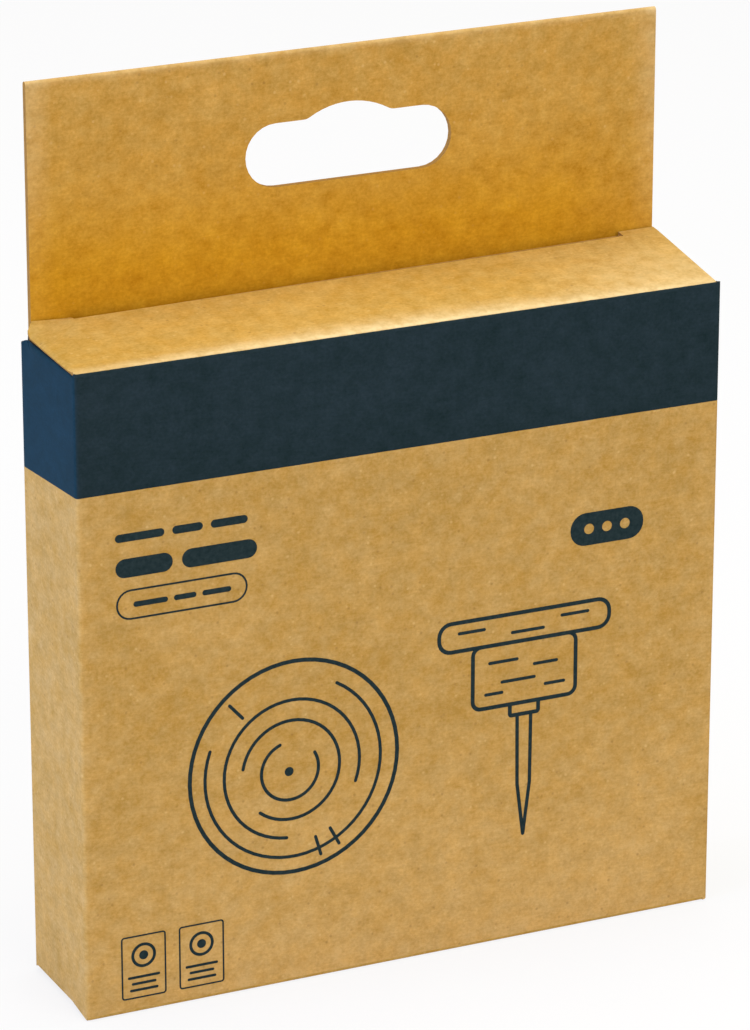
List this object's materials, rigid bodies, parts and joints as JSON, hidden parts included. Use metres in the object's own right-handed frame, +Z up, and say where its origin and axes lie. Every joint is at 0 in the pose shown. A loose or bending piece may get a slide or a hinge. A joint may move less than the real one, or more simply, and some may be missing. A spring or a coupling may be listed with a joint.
{
  "type": "hanging carton of push pins",
  "caption": "Kraft-board folding carton with a euro-slot hang tab and slit-lock tuck ends, holding turned wooden push pins with steel needles.",
  "frame": {"origin": "on the surface that the carton stands on, under the middle of the carton", "axes": "+Z up along the tab, +X to the right seen from the front, +Y from the front panel to the back panel"},
  "size_m": [0.1, 0.02, 0.133],
  "materials": {
    "kraft_board": "matte",
    "turned_wood": "matte",
    "needle_steel": "polished"
  },
  "bodies": {
    "carton": {"front_panel": "kraft_board", "back_panel": "kraft_board", "left_side_panel": "kraft_board", "right_side_panel": "kraft_board", "glue_flap": "kraft_board", "hang_tab_rear_ply": "kraft_board", "hang_tab_front_ply": "kraft_board", "bottom_left_dust_flap": "kraft_board", "bottom_right_dust_flap": "kraft_board", "pin_01_head": "turned_wood", "pin_02_head": "turned_wood", "pin_03_head": "turned_wood", "pin_04_head": "turned_wood", "pin_05_head": "turned_wood", "pin_06_head": "turned_wood", "pin_07_head": "turned_wood", "pin_08_head": "turned_wood", "pin_09_head": "turned_wood", "pin_10_head": "turned_wood", "pin_11_head": "turned_wood", "pin_12_head": "turned_wood", "pin_13_head": "turned_wood", "pin_14_head": "turned_wood", "pin_15_head": "turned_wood", "pin_16_head": "turned_wood", "pin_17_head": "turned_wood", "pin_18_head": "turned_wood", "pin_19_head": "turned_wood", "pin_20_head": "turned_wood", "needles_of_row_1": "needle_steel", "needles_of_row_2": "needle_steel", "needles_of_row_3": "needle_steel", "needles_of_row_4": "needle_steel"},
    "top_lid": {"top_lid": "kraft_board"},
    "top_tuck_tongue": {"top_tuck_tongue": "kraft_board"},
    "top_left_dust_flap": {"top_left_dust_flap": "kraft_board"},
    "top_right_dust_flap": {"top_right_dust_flap": "kraft_board"},
    "bottom_lid": {"bottom_lid": "kraft_board"},
    "bottom_tuck_tongue": {"bottom_tuck_tongue": "kraft_board"},
    "pin_21": {"pin_21_head": "turned_wood", "pin_21_needle": "needle_steel"},
    "pin_22": {"pin_22_head": "turned_wood", "pin_22_needle": "needle_steel"},
    "pin_23": {"pin_23_head": "turned_wood", "pin_23_needle": "needle_steel"},
    "pin_24": {"pin_24_head": "turned_wood", "pin_24_needle": "needle_steel"},
    "pin_25": {"pin_25_head": "turned_wood", "pin_25_needle": "needle_steel"}
  },
  "joints": [
    {"name": "top_lid_crease", "type": "hinge", "parent": "carton", "child": "top_lid", "pos_m": [0, -0.00976, 0.09675], "axis": [1, 0, 0], "range_deg": [0, 103]},
    {"name": "top_tongue_crease", "type": "hinge", "parent": "top_lid", "child": "top_tuck_tongue", "pos_m": [0, 0.00735, 0.0986], "axis": [1, 0, 0], "range_deg": [-61.8, 0]},
    {"name": "top_left_flap_crease", "type": "hinge", "parent": "carton", "child": "top_left_dust_flap", "pos_m": [-0.0495, 0, 0.0959], "axis": [0, -1, 0], "range_deg": [-50, 0], "stiffness_Nm_per_rad": 0.004},
    {"name": "top_right_flap_crease", "type": "hinge", "parent": "carton", "child": "top_right_dust_flap", "pos_m": [0.0495, 0, 0.0959], "axis": [0, 1, 0], "range_deg": [-50, 0], "stiffness_Nm_per_rad": 0.004},
    {"name": "bottom_lid_crease", "type": "hinge", "parent": "carton", "child": "bottom_lid", "pos_m": [0, -0.00976, 0.00025], "axis": [-1, 0, 0], "range_deg": [0, 110]},
    {"name": "bottom_tongue_crease", "type": "hinge", "parent": "bottom_lid", "child": "bottom_tuck_tongue", "pos_m": [0, 0.00744, 0.0005], "axis": [-1, 0, 0], "range_deg": [-66, 0]},
    {"name": "pin_21_lift", "type": "slide", "parent": "carton", "child": "pin_21", "axis": [0, 0, 1], "range_m": [0, 0.024]},
    {"name": "pin_22_lift", "type": "slide", "parent": "carton", "child": "pin_22", "axis": [0, 0, 1], "range_m": [0, 0.024]},
    {"name": "pin_23_lift", "type": "slide", "parent": "carton", "child": "pin_23", "axis": [0, 0, 1], "range_m": [0, 0.024]},
    {"name": "pin_24_lift", "type": "slide", "parent": "carton", "child": "pin_24", "axis": [0, 0, 1], "range_m": [0, 0.024]},
    {"name": "pin_25_lift", "type": "slide", "parent": "carton", "child": "pin_25", "axis": [0, 0, 1], "range_m": [0, 0.024]}
  ],
  "couplings": [
    {"joint": "top_tongue_crease", "follows": "top_lid_crease", "ratio": -0.6},
    {"joint": "bottom_tongue_crease", "follows": "bottom_lid_crease", "ratio": -0.6}
  ]
}
